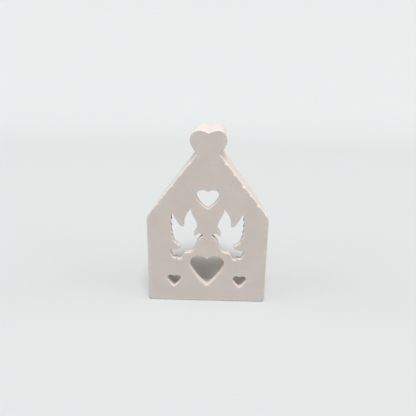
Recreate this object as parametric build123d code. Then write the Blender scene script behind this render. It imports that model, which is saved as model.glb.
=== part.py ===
"""A small open-backed house lantern, cast in white plaster.

Its flat front is fretted with two doves, one large heart and three smaller ones, and a
thick heart runs back along the ridge. All lengths are millimetres. The origin is on the
ground under the middle of the house, +X is to the right, +Y to the open back, +Z up.
"""
import os
from math import cos, radians, sin, tan

from build123d import *

os.makedirs("parts", exist_ok=True)

# House
body_width = 100.0
body_depth = 62.0
eaves_height = 76.4
roof_pitch = 51.4
foot_radius = 4.5
eaves_radius = 10.0
side_draft = 2.3

# Thicknesses
front_thickness = 6.5
wall_thickness = 7.0
roof_thickness = 7.0
floor_thickness = 12.3

# Hearts, each with its width, its height from lobes to tip, and where it stands
finial_width = 29.2
finial_height = 26.6
finial_rise = 7.3
large_heart_width = 28.8
large_heart_height = 27.8
large_heart_tip = 14.2
upper_heart_width = 18.6
upper_heart_height = 15.9
upper_heart_tip = 83.4
small_heart_width = 11.5
small_heart_height = 10.8
small_heart_tip = 13.0
small_heart_offset = 28.0

# The dip between a heart's lobes as a share of its width, and how far past its widest
# point a lobe runs, in degrees
deep_dip = 0.11
shallow_dip = 0.08
lobe_turn = 25.0

# Doves, each with its length from beak to tail, the gap between the beaks, and their height
dove_length = 27.6
beak_gap = 6.6
beak_height = 60.8
feather_bulge = 0.9
rump_bulge = 0.4
tail_bulge = 1.6

half_width = body_width / 2
roof_slope = tan(radians(roof_pitch))
ridge_height = eaves_height + half_width * roof_slope
front_face = -body_depth / 2
rear_face = body_depth / 2
panel_back = front_face + front_thickness
rear_depth = rear_face - panel_back
inner_half_width = half_width - wall_thickness
roof_drop = roof_thickness / cos(radians(roof_pitch))
inner_ridge = ridge_height - roof_drop
inner_eaves = inner_ridge - inner_half_width * roof_slope

# How near a corner or an edge lies to the height by which it is picked
reach = 1.0


def plate(face, near, thickness):
    """A plate of the given outline, drawn in X and Z, from the depth `near` backwards."""
    return extrude(Plane.XZ.offset(-near) * face, amount=-thickness)


def gable_corners(draft, base):
    """The corners of the gable from its base up, with each side drawn in by a draft."""
    edge = half_width - draft
    return [
        (-edge, base),
        (edge, base),
        (edge, eaves_height),
        (0, ridge_height),
        (-edge, eaves_height),
    ]


def house_outline():
    """The gable outline of the front, with rounded feet and slightly rounded eaves."""
    face = make_face(Polyline(*gable_corners(0, 0), close=True))
    face = fillet(face.vertices().filter_by_position(Axis.Y, -reach, reach), foot_radius)
    eaves = face.vertices().filter_by_position(Axis.Y, eaves_height - reach, eaves_height + reach)
    return fillet(eaves, eaves_radius)


def heart_outline(width, height, tip, dip_share):
    """A heart standing on its tip: each lobe is highest at a quarter of the width.

    A lobe falls from there to the dip as a wide arc, and to the side as a tighter one that
    runs into a slightly full flank.
    """
    lobe = width / 4
    top = tip + height
    crown = (lobe, top)
    turn = radians(lobe_turn)
    lobe_end = (lobe + lobe * cos(turn), top - lobe - lobe * sin(turn))
    dip = TangentArc(crown, (0, top - dip_share * width), tangent=(-1, 0))
    shoulder = TangentArc(crown, lobe_end, tangent=(1, 0))
    flank = TangentArc(lobe_end, (0, tip), tangent=(-sin(turn), -cos(turn)))
    half = Curve() + [dip, shoulder, flank]
    return make_face(half + mirror(half, Plane.YZ))


def dove_outline():
    """One flying dove seen from the side, with its beak tip at the origin and its tail to +X."""
    drawn_length = 27.6
    beak = (0, -0.5)
    crown = [(1.4, 0.7), (3.2, 1.7), (5.2, 0.6)]
    nape = (7.8, -0.6)
    near_wing = [(7.5, 1.6), (5.7, 4.2), (5.0, 8.2), (7.2, 14.2)]
    near_tip = (10.2, 22.7)
    near_trail = [(14.2, 17.2), (16.0, 12.0)]
    wing_valley = (16.2, 7.5)
    far_lead = [(18.1, 7.6), (21.2, 11.0), (23.7, 15.0)]
    far_tip = (25.3, 18.2)
    far_feathers = [far_tip, (26.1, 12.4), (26.2, 6.6), (25.7, 1.3), (24.7, -3.4), (22.6, -7.6)]
    rump_top = (19.7, -9.4)
    rump = (18.7, -10.5)
    tail_root = (20.0, -12.1)
    tail_top = (23.4, -13.3)
    tail_end = (26.9, -13.4)
    tail_lobes = [(26.2, -18.9), (22.2, -20.4), (17.9, -20.8)]
    belly = [(16.9, -18.2), (15.3, -16.4), (11.4, -15.8), (8.3, -13.4), (6.4, -9.6)]
    breast = [(4.9, -5.8), (2.9, -2.9)]

    edges = [
        Spline(beak, *crown, nape),
        Spline(nape, *near_wing, near_tip),
        Spline(near_tip, *near_trail, wing_valley),
        Spline(wing_valley, *far_lead, far_tip),
    ]
    edges += [SagittaArc(a, b, feather_bulge) for a, b in zip(far_feathers, far_feathers[1:])]
    edges += [
        SagittaArc(far_feathers[-1], rump_top, rump_bulge),
        Spline(rump_top, rump, tail_root),
        Spline(tail_root, tail_top, tail_end),
        SagittaArc(tail_end, tail_lobes[0], feather_bulge),
    ]
    edges += [SagittaArc(a, b, tail_bulge) for a, b in zip(tail_lobes, tail_lobes[1:])]
    edges += [Spline(tail_lobes[-1], *belly, *breast, beak)]
    return scale(make_face(edges), by=dove_length / drawn_length)


def front_outline():
    """The front: gable and finial in one flat outline, with everything that is cut through it."""
    face = house_outline() + finial_outline()
    face -= heart_outline(large_heart_width, large_heart_height, large_heart_tip, deep_dip)
    face -= heart_outline(upper_heart_width, upper_heart_height, upper_heart_tip, shallow_dip)
    dove = Pos(beak_gap / 2, beak_height) * dove_outline()
    small_heart = heart_outline(small_heart_width, small_heart_height, small_heart_tip, shallow_dip)
    small_heart = Pos(small_heart_offset, 0) * small_heart
    for cut in (dove, small_heart):
        face -= cut
        face -= mirror(cut, Plane.YZ)
    return face


def finial_outline():
    """The heart on the ridge, its lobes standing a set rise above the ridge line."""
    tip = ridge_height + finial_rise - finial_height
    return heart_outline(finial_width, finial_height, tip, shallow_dip)


def rear_plate(face):
    """A plate of the given outline, from the back of the front panel to the open back."""
    return plate(face, panel_back, rear_depth)


def region(*corners):
    """A block of the depth behind the front, for taking a piece out of the shell."""
    return rear_plate(make_face(Polyline(*corners, close=True)))


def round_long_edges(body, height, radius):
    """The body with its edges at one height rounded, where they run from front to back."""
    mostly = 0.9
    long_edges = body.edges().filter_by(lambda edge: abs(edge.tangent_at(0).Y) > mostly)
    return fillet(long_edges.filter_by_position(Axis.Z, height - reach, height + reach), radius)


def house_body():
    """The house behind its front, without a hollow: its sides draw in towards the back."""
    near, far = [
        Plane.XZ.offset(-depth) * make_face(Polyline(*gable_corners(draft, -body_width), close=True))
        for depth, draft in ((panel_back, 0), (rear_face, side_draft))
    ]
    above_ground = region(
        (-body_width, 0),
        (body_width, 0),
        (body_width, ridge_height),
        (-body_width, ridge_height),
    )
    body = loft([near, far], ruled=True) & above_ground
    body = round_long_edges(body, 0, foot_radius)
    return round_long_edges(body, eaves_height, eaves_radius)


def hollow():
    """The lamp space: straight walls, a flat floor and two roof slopes."""
    face = make_face(
        Polyline(
            (-inner_half_width, floor_thickness),
            (inner_half_width, floor_thickness),
            (inner_half_width, inner_eaves),
            (0, inner_ridge),
            (-inner_half_width, inner_eaves),
            close=True,
        )
    )
    return rear_plate(face)


def save(name, solid):
    export_step(solid, f"parts/{name}.step")


body = house_body()
shell = body - hollow()
beyond = body_width

floor_region = region(
    (-beyond, -beyond),
    (beyond, -beyond),
    (beyond, floor_thickness),
    (-beyond, floor_thickness),
)
# The wall and the roof slab meet in a mitre from the inner to the outer corner of the eaves.
mitre = (half_width - inner_half_width, eaves_height - inner_eaves)
mitre_end = (half_width + mitre[0], eaves_height + mitre[1])
wall_region = region(
    (0, floor_thickness),
    (beyond, floor_thickness),
    (beyond, mitre_end[1]),
    mitre_end,
    (inner_half_width, inner_eaves),
    (0, inner_eaves),
)
roof_region = region(
    (0, inner_eaves),
    (inner_half_width, inner_eaves),
    mitre_end,
    (beyond, mitre_end[1]),
    (beyond, ridge_height + beyond),
    (0, ridge_height + beyond),
)

front_panel = plate(front_outline(), front_face, front_thickness)
floor = shell & floor_region
right_wall = shell & wall_region
right_roof = shell & roof_region
ridge_heart = rear_plate(finial_outline()) - body

save("front_panel", front_panel)
save("floor_slab", floor)
save("right_wall", right_wall)
save("left_wall", mirror(right_wall, Plane.YZ))
save("right_roof_slab", right_roof)
save("left_roof_slab", mirror(right_roof, Plane.YZ))
save("ridge_heart", ridge_heart)
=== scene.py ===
"""Looks of the dove and heart house lantern: one softened white plaster casting on a pale table."""
import math

import bmesh
import bpy
import numpy as np
from mathutils import Matrix, Vector
from mathutils.geometry import delaunay_2d_cdt


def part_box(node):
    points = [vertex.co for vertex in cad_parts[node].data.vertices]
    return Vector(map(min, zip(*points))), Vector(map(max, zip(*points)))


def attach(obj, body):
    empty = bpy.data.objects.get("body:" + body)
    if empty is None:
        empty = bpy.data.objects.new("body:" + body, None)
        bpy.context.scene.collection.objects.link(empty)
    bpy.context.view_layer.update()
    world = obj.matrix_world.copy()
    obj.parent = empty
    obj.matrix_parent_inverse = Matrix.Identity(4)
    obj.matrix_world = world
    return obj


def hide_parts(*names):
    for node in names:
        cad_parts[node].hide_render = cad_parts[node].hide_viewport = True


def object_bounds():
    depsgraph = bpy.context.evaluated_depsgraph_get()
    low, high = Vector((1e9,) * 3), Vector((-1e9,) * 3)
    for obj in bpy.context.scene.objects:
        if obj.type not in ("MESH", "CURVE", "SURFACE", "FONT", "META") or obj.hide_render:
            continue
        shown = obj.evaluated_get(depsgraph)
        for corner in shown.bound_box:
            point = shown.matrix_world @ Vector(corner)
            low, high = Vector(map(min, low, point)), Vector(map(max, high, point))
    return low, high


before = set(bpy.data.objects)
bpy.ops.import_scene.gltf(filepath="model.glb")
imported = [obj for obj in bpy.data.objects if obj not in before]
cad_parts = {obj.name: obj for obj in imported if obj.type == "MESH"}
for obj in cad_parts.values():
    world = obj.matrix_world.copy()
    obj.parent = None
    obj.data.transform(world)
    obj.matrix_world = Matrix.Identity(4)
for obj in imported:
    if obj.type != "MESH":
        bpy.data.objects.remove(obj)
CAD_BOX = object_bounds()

bl_info = {
    "name": "Dove and heart house lantern",
    "version": (1, 0, 0),
    "blender": (4, 5, 0),
    "location": "3D View > Sidebar > Lantern",
    "description": "Builds the softened plaster skin of a small fretted house lantern, and its stage",
    "category": "Object",
}

MM = 0.001
TOUCH = 0.01 * MM
EDGE_SEGMENTS = 5
FRONT = CAD_BOX[0][1]
BACK = CAD_BOX[1][1]
PANEL_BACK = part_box("front_panel")[1][1]
HOUSE_NODES = (
    "front_panel",
    "floor_slab",
    "left_wall",
    "right_wall",
    "left_roof_slab",
    "right_roof_slab",
    "ridge_heart",
)


# Outlines read from the construction

def node_mesh(name):
    """The merged points of a construction node, and its triangles as rows of point numbers."""
    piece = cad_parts[name]
    mesh = piece.data
    mesh.calc_loop_triangles()
    points = np.empty(len(mesh.vertices) * 3)
    mesh.vertices.foreach_get("co", points)
    triangles = np.empty(len(mesh.loop_triangles) * 3, dtype=int)
    mesh.loop_triangles.foreach_get("vertices", triangles)
    turn = np.array(piece.matrix_world)
    points = points.reshape(-1, 3) @ turn[:3, :3].T + turn[:3, 3]
    merge_step = 0.002 * MM
    keys = np.round(points / merge_step).astype(np.int64)
    _, first, renumber = np.unique(keys, axis=0, return_index=True, return_inverse=True)
    return points[first], renumber.reshape(-1)[triangles].reshape(-1, 3)


def boundary_loops(triangles, count):
    """The closed boundary loops of a patch of triangles, each as its point numbers in order.

    A boundary edge is one whose reverse is in no triangle. Following the edges, every point
    learns the lowest number in its loop, then how many steps it is from the loop's end; both
    come from doubling the length of the jump until it spans the longest loop.
    """
    edges = np.concatenate([triangles[:, [0, 1]], triangles[:, [1, 2]], triangles[:, [2, 0]]])
    forward = edges[:, 0] * count + edges[:, 1]
    backward = edges[:, 1] * count + edges[:, 0]
    edges = edges[~np.isin(forward, backward)]
    follower = np.arange(count)
    follower[edges[:, 0]] = edges[:, 1]
    doublings = int(np.ceil(np.log2(count))) + 1

    label, jump = np.arange(count), follower.copy()
    for _ in range(doublings):
        label, jump = np.minimum(label, label[jump]), jump[jump]

    ends = edges[label[edges[:, 0]] == edges[:, 1], 0]
    jump = follower.copy()
    jump[ends] = ends
    steps = np.ones(count, dtype=int)
    steps[ends] = 0
    for _ in range(doublings):
        steps, jump = steps + steps[jump], jump[jump]

    members = edges[:, 0]
    return [
        members[label[members] == start][np.argsort(-steps[members[label[members] == start]])]
        for start in np.unique(label[members])
    ]


def front_paths():
    """The outlines of the front face in X and Z, the outer one first, solid on their left."""
    points, triangles = node_mesh("front_panel")
    on_front = points[:, 1] < FRONT + TOUCH
    face = triangles[on_front[triangles].all(axis=1)]
    loops = [points[loop][:, [0, 2]] for loop in boundary_loops(face, len(points))]
    return sorted(loops, key=lambda path: -np.ptp(path[:, 0]))


def hollow_path():
    """The outline of the hollow behind the front, in X and Z, with the solid on its left."""
    floor_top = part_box("floor_slab")[1][2]
    wall_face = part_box("right_wall")[0][0]
    wall_points, _ = node_mesh("right_wall")
    inner = np.abs(wall_points[:, 0] - wall_face) < TOUCH
    inner_eaves = wall_points[inner, 2].max()
    roof_points, _ = node_mesh("right_roof_slab")
    middle = np.abs(roof_points[:, 0]) < TOUCH
    inner_ridge = roof_points[middle, 2].min()
    corners = [
        (-wall_face, floor_top),
        (-wall_face, inner_eaves),
        (0, inner_ridge),
        (wall_face, inner_eaves),
        (wall_face, floor_top),
    ]
    return np.array(corners, dtype=float)


# Paths

def even_path(path, spacing, softness):
    """A closed path at even steps along its length, then blurred by a Gaussian of that width."""
    closed = np.vstack([path, path[:1]])
    run = np.concatenate([[0], np.cumsum(np.linalg.norm(np.diff(closed, axis=0), axis=1))])
    count = int(round(run[-1] / spacing))
    at = np.arange(count) * run[-1] / count
    even = np.stack([np.interp(at, run, closed[:, axis]) for axis in (0, 1)], axis=1)
    waves = np.fft.fftfreq(count, d=run[-1] / count)[:, None]
    blur = np.exp(-2 * (math.pi * softness * waves) ** 2)
    return np.fft.ifft(np.fft.fft(even, axis=0) * blur, axis=0).real


def inward_normals(path):
    """Unit normals to the left of the path, from the chord between each point's neighbours."""
    chord = np.roll(path, -1, axis=0) - np.roll(path, 1, axis=0)
    chord /= np.linalg.norm(chord, axis=1, keepdims=True)
    return np.stack([-chord[:, 1], chord[:, 0]], axis=1)


def within_bend(path, radius):
    """The radius, kept under half the path's own where it bends towards the inset side.

    The bend is the turn between neighbouring chords over their length. Its highest value
    among a few neighbours sets the limit, so the radius narrows before a sharp point.
    """
    chord = np.roll(path, -1, axis=0) - path
    heading = np.arctan2(chord[:, 1], chord[:, 0])
    turn = (heading - np.roll(heading, 1) + math.pi) % (2 * math.pi) - math.pi
    bend = turn / np.linalg.norm(chord, axis=1)
    reach = 4
    sharpest = np.max([np.roll(bend, step) for step in range(-reach, reach + 1)], axis=0)
    share_of_bend, nearly_straight = 0.5, 1.0
    return np.minimum(radius, share_of_bend / np.maximum(sharpest, nearly_straight))


# Surfaces

def round_edge(radius):
    """A rounded or broken edge as rows of (inset, depth) for every point of a path.

    On a round the inset goes from the radius to nothing as 1 - sin(angle) while the depth
    grows from nothing as 1 - cos(angle); on a facet both change evenly. The larger the radius,
    the more of the facet is mixed in. A negative radius insets the other way, as a fillet.
    """
    facet_radius = 1.2 * MM
    share = np.linspace(0, 1, EDGE_SEGMENTS + 1)[:, None]
    angle = share * math.pi / 2
    facet = np.clip(np.abs(radius) / facet_radius, 0, 1)
    inset = (1 - np.sin(angle)) * (1 - facet) + (1 - share) * facet
    depth = (1 - np.cos(angle)) * (1 - facet) + share * facet
    return radius * inset, np.abs(radius) * depth


def carried_wall(path, front_radius, back_radius, near, far, rows):
    """A path carried from `near` to `far`: a quarter round, straight rows, a quarter round.

    Each point is the path plus inset times its inward normal. A radius may change along the
    path, and a negative one turns the edge into a hollow fillet.
    """
    normals = inward_normals(path)
    ones = np.ones(len(path))
    front_inset, front_depth = round_edge(front_radius * ones)
    back_inset, back_depth = round_edge(back_radius * ones)
    front_depth = near + front_depth
    back_depth = far - back_depth
    share = np.linspace(0, 1, rows + 2)[1:-1, None]
    side_depth = front_depth[-1] * (1 - share) + back_depth[-1] * share
    inset = np.vstack([front_inset, np.zeros_like(side_depth), back_inset[::-1]])
    depth = np.vstack([front_depth, side_depth, back_depth[::-1]])
    flat = path[None] + inset[..., None] * normals[None]
    return np.stack([flat[..., 0], depth, flat[..., 1]], axis=-1)


def drawn_in(grid):
    """The outer surface with its sides drawn in towards the back, as the construction's are.

    Behind the front panel X shrinks evenly with depth, by up to the share that the right wall
    loses. The shrink fades in over a short height below the ridge heart, which stays as wide,
    as t squared times 3 - 2t.
    """
    wall, _ = node_mesh("right_wall")
    loss = 1 - wall[wall[:, 1] > BACK - TOUCH, 0].max() / wall[:, 0].max()
    depth_share = np.clip((grid[..., 1] - PANEL_BACK) / (BACK - PANEL_BACK), 0, 1)
    fade_height = 8 * MM
    below = np.clip((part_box("ridge_heart")[0][2] - grid[..., 2]) / fade_height, 0, 1)
    drawn = grid.copy()
    drawn[..., 0] *= 1 - loss * depth_share * below**2 * (3 - 2 * below)
    return drawn


def wall_faces(rows, count, start):
    """Four-cornered faces of a grid that closes on itself along the path, facing outwards."""
    row, column = np.meshgrid(np.arange(rows - 1), np.arange(count), indexing="ij")
    following = (column + 1) % count
    corners = [row * count + column, (row + 1) * count + column]
    corners += [(row + 1) * count + following, row * count + following]
    return start + np.stack(corners, axis=-1).reshape(-1, 4)


def flat_cap(loops, level, faces_front):
    """The flat between closed loops at one depth, as points and triangles.

    The loops and an even grid of inner points are joined by constrained Delaunay triangles;
    what lies outside the first loop or inside another is left open.
    """
    filler_step = 3.0
    points = np.vstack(loops) / MM
    starts = np.cumsum([0] + [len(loop) for loop in loops])
    rings = [list(range(first, last)) for first, last in zip(starts, starts[1:])]
    low, high = points.min(axis=0), points.max(axis=0)
    axes = [np.arange(a + filler_step, b, filler_step) for a, b in zip(low, high)]
    filler = np.stack(np.meshgrid(*axes), axis=-1).reshape(-1, 2)
    every = [Vector(point) for point in np.vstack([points, filler]).tolist()]
    inside_with_holes = 2
    tolerance = 1e-5
    found = delaunay_2d_cdt(every, [], rings, inside_with_holes, tolerance)
    flat = np.array([tuple(point) for point in found[0]]) * MM
    triangles = np.array(found[2])
    if not faces_front:
        triangles = triangles[:, ::-1]
    return np.stack([flat[:, 0], np.full(len(flat), level), flat[:, 1]], axis=-1), triangles


class Skin:
    """Points, faces, finish and arris values gathered from the surfaces of one piece."""

    def __init__(self):
        self.points, self.faces, self.slots, self.smooth, self.arris = [], [], [], [], []
        self.count = 0

    def add(self, points, faces, slot, smooth, arris):
        self.points.append(points)
        self.faces += (faces + self.count).tolist()
        self.slots += [slot] * len(faces)
        self.smooth += [smooth] * len(faces)
        self.arris.append(arris)
        self.count += len(points)

    def add_wall(self, grid, slot):
        """A carried wall; its arris value is 1 on both edges' rows and falls off beside them."""
        rows, count = grid.shape[:2]
        row = np.arange(rows)
        beside = np.minimum(row, rows - 1 - row)
        value = np.where(beside <= EDGE_SEGMENTS, 1.0, 0.0)
        arris = np.repeat(value, count)
        self.add(grid.reshape(-1, 3), wall_faces(rows, count, 0), slot, True, arris)

    def add_cap(self, loops, level, faces_front, slot):
        points, triangles = flat_cap(loops, level, faces_front)
        self.add(points, triangles, slot, False, np.zeros(len(points)))

    def build(self, name, materials):
        """The mesh object, with the points that surfaces share merged."""
        mesh = bpy.data.meshes.new(name)
        mesh.from_pydata(np.vstack(self.points).tolist(), [], self.faces)
        mesh.polygons.foreach_set("material_index", self.slots)
        mesh.polygons.foreach_set("use_smooth", self.smooth)
        layer = mesh.attributes.new("arris", "FLOAT", "POINT")
        layer.data.foreach_set("value", np.concatenate(self.arris))
        edit = bmesh.new()
        edit.from_mesh(mesh)
        merge_distance = 0.003 * MM
        bmesh.ops.remove_doubles(edit, verts=edit.verts, dist=merge_distance)
        open_edges = [edge for edge in edit.edges if not edge.is_manifold]
        edit.to_mesh(mesh)
        edit.free()
        if open_edges:
            raise RuntimeError(f"{name} is left open at {len(open_edges)} edges")
        for material in materials:
            mesh.materials.append(material)
        piece = bpy.data.objects.new(name, mesh)
        bpy.context.scene.collection.objects.link(piece)
        return piece


# Materials

# A mix node's colour sockets, by number, because its sockets for values share their names.
MIX_FROM, MIX_TO, MIX_RESULT = 6, 7, 2


def node(tree, kind, place, **values):
    """A shader node at a place in its tree, with its named settings and socket values."""
    made = tree.nodes.new(kind)
    made.location = place
    for key, value in values.items():
        if hasattr(made, key):
            setattr(made, key, value)
        else:
            made.inputs[key.replace("_", " ")].default_value = value
    return made


def plaster_group():
    """Plaster as cast: fine grain, slow unevenness, small air pits with painted shade, cloudy tone, and
    arrises lightened by rubbing and a painted highlight.
    """
    group = bpy.data.node_groups.new("plaster as cast", "ShaderNodeTree")
    sockets = [
        ("Colour", "NodeSocketColor"),
        ("Cloudiness", "NodeSocketFloat"),
        ("Pit Amount", "NodeSocketFloat"),
        ("Wear and Highlight", "NodeSocketFloat"),
    ]
    for name, kind in sockets:
        group.interface.new_socket(name, in_out="INPUT", socket_type=kind)
    for name, kind in [("Colour", "NodeSocketColor"), ("Roughness", "NodeSocketFloat"),
                       ("Height", "NodeSocketFloat")]:
        group.interface.new_socket(name, in_out="OUTPUT", socket_type=kind)
    link = group.links.new
    grain_share, pit_depth = 0.1, 0.9
    # The lighter white mixed in along the arrises is rubbing plus a painted highlight; pit_shade is painted
    # shade in the air pits.
    wear_and_highlight_white = (0.93, 0.88, 0.84, 1.0)
    pit_shade = (0.72, 0.69, 0.66, 1.0)
    given = node(group, "NodeGroupInput", (-1400, 0))
    result = node(group, "NodeGroupOutput", (900, 0))
    place = node(group, "ShaderNodeTexCoord", (-1400, -300)).outputs["Object"]
    arris = node(group, "ShaderNodeAttribute", (-1400, -600), attribute_name="arris")

    grain = node(group, "ShaderNodeTexNoise", (-1100, 300), Scale=1900.0, Detail=4.0, Roughness=0.65)
    swell = node(group, "ShaderNodeTexNoise", (-1100, 50), Scale=75.0, Detail=3.0, Roughness=0.5)
    cloud = node(group, "ShaderNodeTexNoise", (-1100, -200), Scale=42.0, Detail=5.0, Roughness=0.6)
    pits = node(group, "ShaderNodeTexVoronoi", (-1100, -450), Scale=260.0, Randomness=1.0)
    scatter = node(group, "ShaderNodeTexNoise", (-1100, -750), Scale=160.0, Detail=1.0)
    for texture in (grain, swell, cloud, pits, scatter):
        link(place, texture.inputs["Vector"])

    hollow = node(group, "ShaderNodeMapRange", (-850, -450), From_Min=0.07, From_Max=0.13,
                  To_Min=1.0, To_Max=0.0, interpolation_type="SMOOTHSTEP")
    link(pits.outputs["Distance"], hollow.inputs["Value"])
    few = node(group, "ShaderNodeMapRange", (-850, -750), From_Min=0.56, From_Max=0.62)
    link(scatter.outputs["Fac"], few.inputs["Value"])
    pitted = node(group, "ShaderNodeMath", (-600, -550), operation="MULTIPLY")
    link(hollow.outputs["Result"], pitted.inputs[0])
    link(few.outputs["Result"], pitted.inputs[1])
    pit_mask = node(group, "ShaderNodeMath", (-400, -550), operation="MULTIPLY")
    link(pitted.outputs[0], pit_mask.inputs[0])
    link(given.outputs["Pit Amount"], pit_mask.inputs[1])

    rise = node(group, "ShaderNodeMath", (-600, 200), operation="MULTIPLY_ADD")
    rise.inputs[1].default_value = grain_share
    link(grain.outputs["Fac"], rise.inputs[0])
    link(swell.outputs["Fac"], rise.inputs[2])
    height = node(group, "ShaderNodeMath", (-200, 200), operation="MULTIPLY_ADD")
    height.inputs[1].default_value = -pit_depth
    link(pit_mask.outputs[0], height.inputs[0])
    link(rise.outputs[0], height.inputs[2])
    link(height.outputs[0], result.inputs["Height"])

    shade = node(group, "ShaderNodeMapRange", (-850, -150), From_Min=0.3, From_Max=0.7,
                 To_Min=-1.0, To_Max=1.0)
    link(cloud.outputs["Fac"], shade.inputs["Value"])
    amount = node(group, "ShaderNodeMath", (-600, -100), operation="MULTIPLY")
    link(shade.outputs["Result"], amount.inputs[0])
    link(given.outputs["Cloudiness"], amount.inputs[1])
    value = node(group, "ShaderNodeMath", (-400, -100), operation="ADD")
    value.inputs[1].default_value = 1.0
    link(amount.outputs[0], value.inputs[0])
    tone = node(group, "ShaderNodeHueSaturation", (-200, -100))
    link(value.outputs[0], tone.inputs["Value"])
    link(given.outputs["Colour"], tone.inputs["Color"])

    # Along the arrises the colour is mixed towards the lighter white, mottled by the cloud noise: rubbing
    # and a painted highlight where the edges catch the light.
    wear_and_highlight_noise = node(group, "ShaderNodeMapRange", (-850, -950), From_Min=0.2, From_Max=0.42)
    link(cloud.outputs["Fac"], wear_and_highlight_noise.inputs["Value"])
    wear_and_highlight = node(group, "ShaderNodeMath", (-600, -850), operation="MULTIPLY")
    link(arris.outputs["Fac"], wear_and_highlight.inputs[0])
    link(wear_and_highlight_noise.outputs["Result"], wear_and_highlight.inputs[1])
    worn_and_highlit = node(group, "ShaderNodeMath", (-400, -850), operation="MULTIPLY")
    link(wear_and_highlight.outputs[0], worn_and_highlit.inputs[0])
    link(given.outputs["Wear and Highlight"], worn_and_highlit.inputs[1])
    chalked_and_highlit = node(group, "ShaderNodeMix", (100, -100), data_type="RGBA")
    chalked_and_highlit.inputs[MIX_TO].default_value = wear_and_highlight_white
    link(worn_and_highlit.outputs[0], chalked_and_highlit.inputs["Factor"])
    link(tone.outputs["Color"], chalked_and_highlit.inputs[MIX_FROM])
    # Pits are multiplied by pit_shade: painted shade in the small hollows.
    pit_shaded = node(group, "ShaderNodeMix", (350, -100), data_type="RGBA", blend_type="MULTIPLY")
    pit_shaded.inputs[MIX_TO].default_value = pit_shade
    link(pit_mask.outputs[0], pit_shaded.inputs["Factor"])
    link(chalked_and_highlit.outputs[MIX_RESULT], pit_shaded.inputs[MIX_FROM])
    link(pit_shaded.outputs[MIX_RESULT], result.inputs["Colour"])

    rough = node(group, "ShaderNodeMapRange", (-200, -400), From_Min=0.3, From_Max=0.7,
                 To_Min=0.86, To_Max=0.97)
    link(grain.outputs["Fac"], rough.inputs["Value"])
    link(rough.outputs["Result"], result.inputs["Roughness"])
    return group


def plaster_material(name, colour, cloudiness, pits, wear_and_highlight, relief):
    """A matte plaster finish: the shared group's colour, roughness and height on one shader."""
    group = bpy.data.node_groups.get("plaster as cast") or plaster_group()
    material = bpy.data.materials.new(name)
    material.use_nodes = True
    tree = material.node_tree
    shader = tree.nodes["Principled BSDF"]
    faint_sheen = 0.3
    shader.inputs["Specular IOR Level"].default_value = faint_sheen
    cast = node(tree, "ShaderNodeGroup", (-600, 0), node_tree=group)
    cast.inputs["Colour"].default_value = (*colour, 1.0)
    cast.inputs["Cloudiness"].default_value = cloudiness
    cast.inputs["Pit Amount"].default_value = pits
    cast.inputs["Wear and Highlight"].default_value = wear_and_highlight
    bump = node(tree, "ShaderNodeBump", (-300, -300), Strength=1.0, Distance=relief)
    tree.links.new(cast.outputs["Colour"], shader.inputs["Base Color"])
    tree.links.new(cast.outputs["Roughness"], shader.inputs["Roughness"])
    tree.links.new(cast.outputs["Height"], bump.inputs["Height"])
    tree.links.new(bump.outputs["Normal"], shader.inputs["Normal"])
    return material


# Settings

class LanternCasting(bpy.types.PropertyGroup):
    arris: bpy.props.FloatProperty(
        name="Arris", description="Radius of the outer edges", default=0.5 * MM, unit="LENGTH", precision=5)
    cut_arris: bpy.props.FloatProperty(
        name="Cut arris", description="Radius of the edges of every cut-out", default=0.35 * MM,
        unit="LENGTH", precision=5)
    chip_depth: bpy.props.FloatProperty(
        name="Chip depth", description="How far a chip widens the front roof arris", default=1.1 * MM,
        unit="LENGTH", precision=5)
    chip_width: bpy.props.FloatProperty(
        name="Chip width", description="Half width of a chip along the arris", default=1.2 * MM,
        unit="LENGTH", precision=5)
    outside: bpy.props.FloatVectorProperty(
        name="Outside", description="Colour of the outer plaster", default=(0.86, 0.785, 0.73),
        subtype="COLOR", size=3, min=0.0, max=1.0)
    # The sides of the cut-outs get a warmer, lighter copy of the plaster colour: painted light on the cut
    # sides, as on sills catching the lamp.
    fretted: bpy.props.FloatVectorProperty(
        name="Fretted", description="Colour of the sides of the cut-outs", default=(0.92, 0.81, 0.72),
        subtype="COLOR", size=3, min=0.0, max=1.0)
    # The hollow gets a cooler, greyer copy of the plaster colour: painted shade for the shaded inside of the
    # house.
    inside: bpy.props.FloatVectorProperty(
        name="Inside", description="Colour of the plaster in the hollow", default=(0.81, 0.79, 0.77),
        subtype="COLOR", size=3, min=0.0, max=1.0)
    relief: bpy.props.FloatProperty(
        name="Relief", description="Height of the cast surface's unevenness", default=0.35 * MM,
        unit="LENGTH", precision=5)


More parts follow.
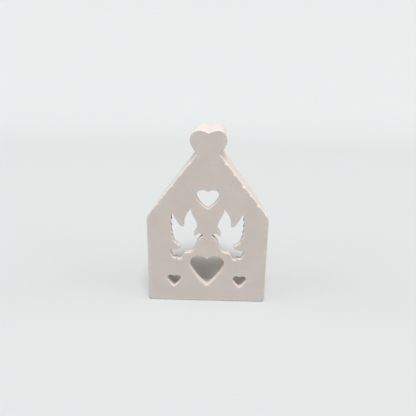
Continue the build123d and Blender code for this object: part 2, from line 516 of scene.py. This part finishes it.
class LanternStage(bpy.types.PropertyGroup):
    table: bpy.props.FloatVectorProperty(
        name="Table", description="Colour of the table and the slope behind it", default=(0.69, 0.73, 0.74),
        subtype="COLOR", size=3, min=0.0, max=1.0)
    table_bounce: bpy.props.FloatVectorProperty(
        name="Table bounce", description="Colour of the table in the light that it throws back",
        default=(0.1, 0.12, 0.12), subtype="COLOR", size=3, min=0.0, max=1.0)
    sky: bpy.props.FloatVectorProperty(
        name="Room colour", description="Colour of the even light", default=(1.0, 0.96, 0.92),
        subtype="COLOR", size=3, min=0.0, max=1.0)
    sky_strength: bpy.props.FloatProperty(
        name="Room light", description="Strength of the even light from all round", default=0.5)
    lamp_strength: bpy.props.FloatProperty(
        name="Lamp strength", description="Strength of the high softbox", default=1.62)
    lamp_spread: bpy.props.FloatProperty(
        name="Lamp spread", description="How broad the high softbox looks from the lantern",
        default=math.radians(22), subtype="ANGLE")
    lamp_rise: bpy.props.FloatProperty(
        name="Lamp rise", description="Height of the high softbox over the table, as an angle",
        default=math.radians(66), subtype="ANGLE")
    lamp_aside: bpy.props.FloatProperty(
        name="Lamp aside", description="Turn of the high softbox to the right of the front",
        default=math.radians(7), subtype="ANGLE")
    side_strength: bpy.props.FloatProperty(
        name="Side strength", description="Strength of the pale screen at each side", default=0.85)
    side_spread: bpy.props.FloatProperty(
        name="Side spread", description="How broad each side screen looks from the lantern",
        default=math.radians(60), subtype="ANGLE")
    side_rise: bpy.props.FloatProperty(
        name="Side rise", description="Height of the middle of each side screen, as an angle",
        default=math.radians(18), subtype="ANGLE")
    side_turn: bpy.props.FloatProperty(
        name="Side turn", description="Turn of each side screen away from the front",
        default=math.radians(82), subtype="ANGLE")


# Pieces

def chipped_arris(path, settings):
    """The outer arris radius along the path: the plain radius plus a bell at every chip.

    A bell is e to the power of minus t squared, t being the distance along the path in chip
    widths. Chips sit on the two roof slopes of the front, at the heights where the casting
    lost them, and are smaller on the left one. On a slope the normal's sideways part is the
    height gained for each step along the path.
    """
    chip_heights = np.array([121.2, 112.6, 103.2, 95.9, 87.4, 79.8]) * MM
    chip_sizes = np.array([1.0, 0.65, 1.15, 0.7, 0.85, 0.55])
    left_share = 0.55
    steep = 0.6
    gain = np.maximum(np.abs(inward_normals(path)[:, 0]), steep)
    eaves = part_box("right_wall")[1][2]
    on_slope = (gain > steep) & (path[:, 1] > eaves)
    away = (path[:, 1, None] - chip_heights) / gain[:, None] / settings.chip_width
    bells = (chip_sizes * np.exp(-away**2)).sum(axis=1) * np.where(path[:, 0] < 0, left_share, 1)
    return settings.arris + settings.chip_depth * bells * on_slope


class LANTERN_OT_casting(bpy.types.Operator):
    """Cast the house in one piece: fretted front, walls, floor, roof and ridge heart"""

    bl_idname = "lantern.casting"
    bl_label = "House casting"

    def execute(self, context):
        settings = context.scene.lantern_casting
        outer, *cuts = front_paths()
        outer = even_path(outer, spacing=0.5 * MM, softness=0.3 * MM)
        cuts = [even_path(cut, spacing=0.3 * MM, softness=0.22 * MM) for cut in cuts]
        hollow = even_path(hollow_path(), spacing=0.8 * MM, softness=0.9 * MM)
        inner_fillet = 0.3 * MM

        outer_arris = chipped_arris(outer, settings)
        outer_wall = drawn_in(carried_wall(outer, outer_arris, settings.arris, FRONT, BACK, rows=14))
        cut_walls = []
        for cut in cuts:
            radius = within_bend(cut, settings.cut_arris)
            cut_walls.append(carried_wall(cut, radius, radius, FRONT, PANEL_BACK, rows=3))
        hollow_wall = carried_wall(hollow, -inner_fillet, settings.arris, PANEL_BACK, BACK, rows=12)

        skin = Skin()
        outside_slot, shaded_inside_slot, lit_fretted_slot = 0, 1, 2
        skin.add_wall(outer_wall, outside_slot)
        for wall in cut_walls:
            skin.add_wall(wall, lit_fretted_slot)
        skin.add_wall(hollow_wall, shaded_inside_slot)
        plan = [0, 2]
        front = [wall[0][:, plan] for wall in (outer_wall, *cut_walls)]
        behind = [hollow_wall[0][:, plan]] + [wall[-1][:, plan] for wall in cut_walls]
        back = [outer_wall[-1][:, plan], hollow_wall[-1][:, plan]]
        skin.add_cap(front, FRONT, True, outside_slot)
        skin.add_cap(behind, PANEL_BACK, False, shaded_inside_slot)
        skin.add_cap(back, BACK, False, outside_slot)

        # Arrises of every finish are lightened by rubbing and a painted highlight, less on the cut sides and
        # least in the hollow.
        outside = plaster_material(
            "white plaster", settings.outside, cloudiness=0.04, pits=0.25, wear_and_highlight=0.9, relief=settings.relief)
        # The cut sides take the lighter, warmer copy of the plaster: painted light.
        fretted = plaster_material(
            "lit fretted plaster", settings.fretted, cloudiness=0.03, pits=0.0, wear_and_highlight=0.6, relief=settings.relief)
        rougher = 1.5 * settings.relief
        # The hollow takes the cooler, greyer copy of the plaster: painted shade.
        inside = plaster_material(
            "shaded plaster inside", settings.inside, cloudiness=0.035, pits=0.6, wear_and_highlight=0.3, relief=rougher)
        casting = skin.build("house_casting", [outside, inside, fretted])
        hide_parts(*HOUSE_NODES)
        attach(casting, "root")
        return {"FINISHED"}


class LANTERN_OT_stage(bpy.types.Operator):
    """Set the pale table, the soft lamps and the camera at the photograph's viewpoint"""

    bl_idname = "lantern.stage"
    bl_label = "Stage"

    def execute(self, context):
        settings = context.scene.lantern_stage
        self.table(settings)
        self.lamps(context.scene, settings)
        self.camera(context.scene)
        context.scene.view_settings.view_transform = "Standard"
        return {"FINISHED"}

    def table(self, settings):
        """A floor that bends into a rising ramp: a straight run, an arc and a straight slope."""
        half_width, front_run, back_run, bend, length = 5.0, 2.0, 1.0, 1.5, 5.5
        slope = math.radians(22)
        bend_rows, columns_across = 24, 13
        angle = np.linspace(0, slope, bend_rows)
        end = np.array([back_run + bend * math.sin(slope), bend * (1 - math.cos(slope))])
        far = end + length * np.array([math.cos(slope), math.sin(slope)])
        along = np.concatenate([[-front_run], back_run + bend * np.sin(angle), [far[0]]])
        up = np.concatenate([[0.0], bend * (1 - np.cos(angle)), [far[1]]])
        across = np.linspace(-half_width, half_width, columns_across)
        y, x = np.meshgrid(along, across, indexing="ij")
        z = np.repeat(up[:, None], len(across), axis=1)
        rows, columns = y.shape
        i, j = np.meshgrid(np.arange(rows - 1), np.arange(columns - 1), indexing="ij")
        faces = np.stack([i * columns + j, i * columns + j + 1, (i + 1) * columns + j + 1,
                          (i + 1) * columns + j], axis=-1).reshape(-1, 4)
        mesh = bpy.data.meshes.new("pale_table")
        mesh.from_pydata(np.stack([x, y, z], axis=-1).reshape(-1, 3).tolist(), [], faces.tolist())
        mesh.polygons.foreach_set("use_smooth", [True] * len(faces))
        mesh.materials.append(self.table_material(settings))
        table = bpy.data.objects.new("pale_table", mesh)
        bpy.context.scene.collection.objects.link(table)

    def table_material(self, settings):
        """A pale table to the camera, and a darker one to the light that it throws back."""
        material = bpy.data.materials.new("pale table")
        material.use_nodes = True
        tree = material.node_tree
        shader = tree.nodes["Principled BSDF"]
        matte = 0.8
        shader.inputs["Roughness"].default_value = matte
        seen = node(tree, "ShaderNodeLightPath", (-700, 0))
        colour = node(tree, "ShaderNodeMix", (-300, 0), data_type="RGBA")
        colour.inputs[MIX_FROM].default_value = (*settings.table_bounce, 1.0)
        colour.inputs[MIX_TO].default_value = (*settings.table, 1.0)
        tree.links.new(seen.outputs["Is Camera Ray"], colour.inputs["Factor"])
        tree.links.new(colour.outputs[MIX_RESULT], shader.inputs["Base Color"])
        return material

    def room_light(self, settings):
        """Even light from all round, which the camera sees as a backdrop as pale as the table."""
        world = bpy.data.worlds.new("room light")
        world.use_nodes = True
        tree = world.node_tree
        background = tree.nodes["Background"]
        seen = node(tree, "ShaderNodeLightPath", (-700, 0))
        colour = node(tree, "ShaderNodeMix", (-300, 100), data_type="RGBA")
        colour.inputs[MIX_FROM].default_value = (*settings.sky, 1.0)
        colour.inputs[MIX_TO].default_value = (*settings.table, 1.0)
        strength = node(
            tree, "ShaderNodeMapRange", (-300, -150), To_Min=settings.sky_strength, To_Max=1.0)
        tree.links.new(seen.outputs["Is Camera Ray"], colour.inputs["Factor"])
        tree.links.new(seen.outputs["Is Camera Ray"], strength.inputs["Value"])
        tree.links.new(colour.outputs[MIX_RESULT], background.inputs["Color"])
        tree.links.new(strength.outputs["Result"], background.inputs["Strength"])
        return world

    def lamps(self, scene, settings):
        """A soft lamp from high in front, a pale screen at each side, and even room light."""
        scene.world = self.room_light(settings)
        high = (settings.lamp_strength, settings.lamp_spread, settings.lamp_rise)
        side = (settings.side_strength, settings.side_spread, settings.side_rise)
        for name, turn, (strength, spread, rise) in (
            ("high softbox", settings.lamp_aside, high),
            ("right screen", settings.side_turn, side),
            ("left screen", -settings.side_turn, side),
        ):
            lamp = bpy.data.lights.new(name, "SUN")
            lamp.angle = spread
            lamp.energy = strength
            level = Vector((-math.sin(turn), math.cos(turn), 0))
            towards = level * math.cos(rise) - Vector((0, 0, math.sin(rise)))
            placed = bpy.data.objects.new(name, lamp)
            placed.matrix_world = towards.to_track_quat("-Z", "Y").to_matrix().to_4x4()
            scene.collection.objects.link(placed)

    def camera(self, scene):
        """The photograph's viewpoint, from the house's own edges: place, aim, roll and lens."""
        stand_off, aside, height = 292.2 * MM, 6.44 * MM, 174.3 * MM
        down, left, roll = math.radians(17.09), math.radians(1.21), math.radians(0.84)
        focal_pixels, frame_pixels, sensor = 378.5, 416, 36.0
        level = Vector((-math.sin(left), math.cos(left), 0))
        ahead = level * math.cos(down) - Vector((0, 0, math.sin(down)))
        right = Vector((math.cos(left), math.sin(left), 0))
        up = right.cross(ahead)
        right, up = (right * math.cos(roll) + up * math.sin(roll),
                     up * math.cos(roll) - right * math.sin(roll))
        axes = Matrix((right, up, -ahead)).transposed().to_4x4()
        lens = bpy.data.cameras.new("photograph's view")
        lens.sensor_width = sensor
        lens.lens = sensor * focal_pixels / frame_pixels
        lens.clip_start = 10 * MM
        view = bpy.data.objects.new("photograph's view", lens)
        view.matrix_world = Matrix.Translation((aside, FRONT - stand_off, height)) @ axes
        scene.collection.objects.link(view)
        scene.camera = view


class LANTERN_PT_panel(bpy.types.Panel):
    bl_label = "House lantern"
    bl_idname = "LANTERN_PT_panel"
    bl_space_type = "VIEW_3D"
    bl_region_type = "UI"
    bl_category = "Lantern"

    def draw(self, context):
        for settings, operators in (
            (context.scene.lantern_casting, ("lantern.casting",)),
            (context.scene.lantern_stage, ("lantern.stage",)),
        ):
            box = self.layout.box()
            for name in settings.__annotations__:
                box.prop(settings, name)
            for operator in operators:
                box.operator(operator)


CLASSES = (LanternCasting, LanternStage, LANTERN_OT_casting, LANTERN_OT_stage, LANTERN_PT_panel)


def register():
    for cls in CLASSES:
        bpy.utils.register_class(cls)
    bpy.types.Scene.lantern_casting = bpy.props.PointerProperty(type=LanternCasting)
    bpy.types.Scene.lantern_stage = bpy.props.PointerProperty(type=LanternStage)


def unregister():
    del bpy.types.Scene.lantern_stage
    del bpy.types.Scene.lantern_casting
    for cls in reversed(CLASSES):
        bpy.utils.unregister_class(cls)


def main():
    register()
    bpy.ops.lantern.casting()
    bpy.ops.lantern.stage()


if __name__ == "__main__":
    main()
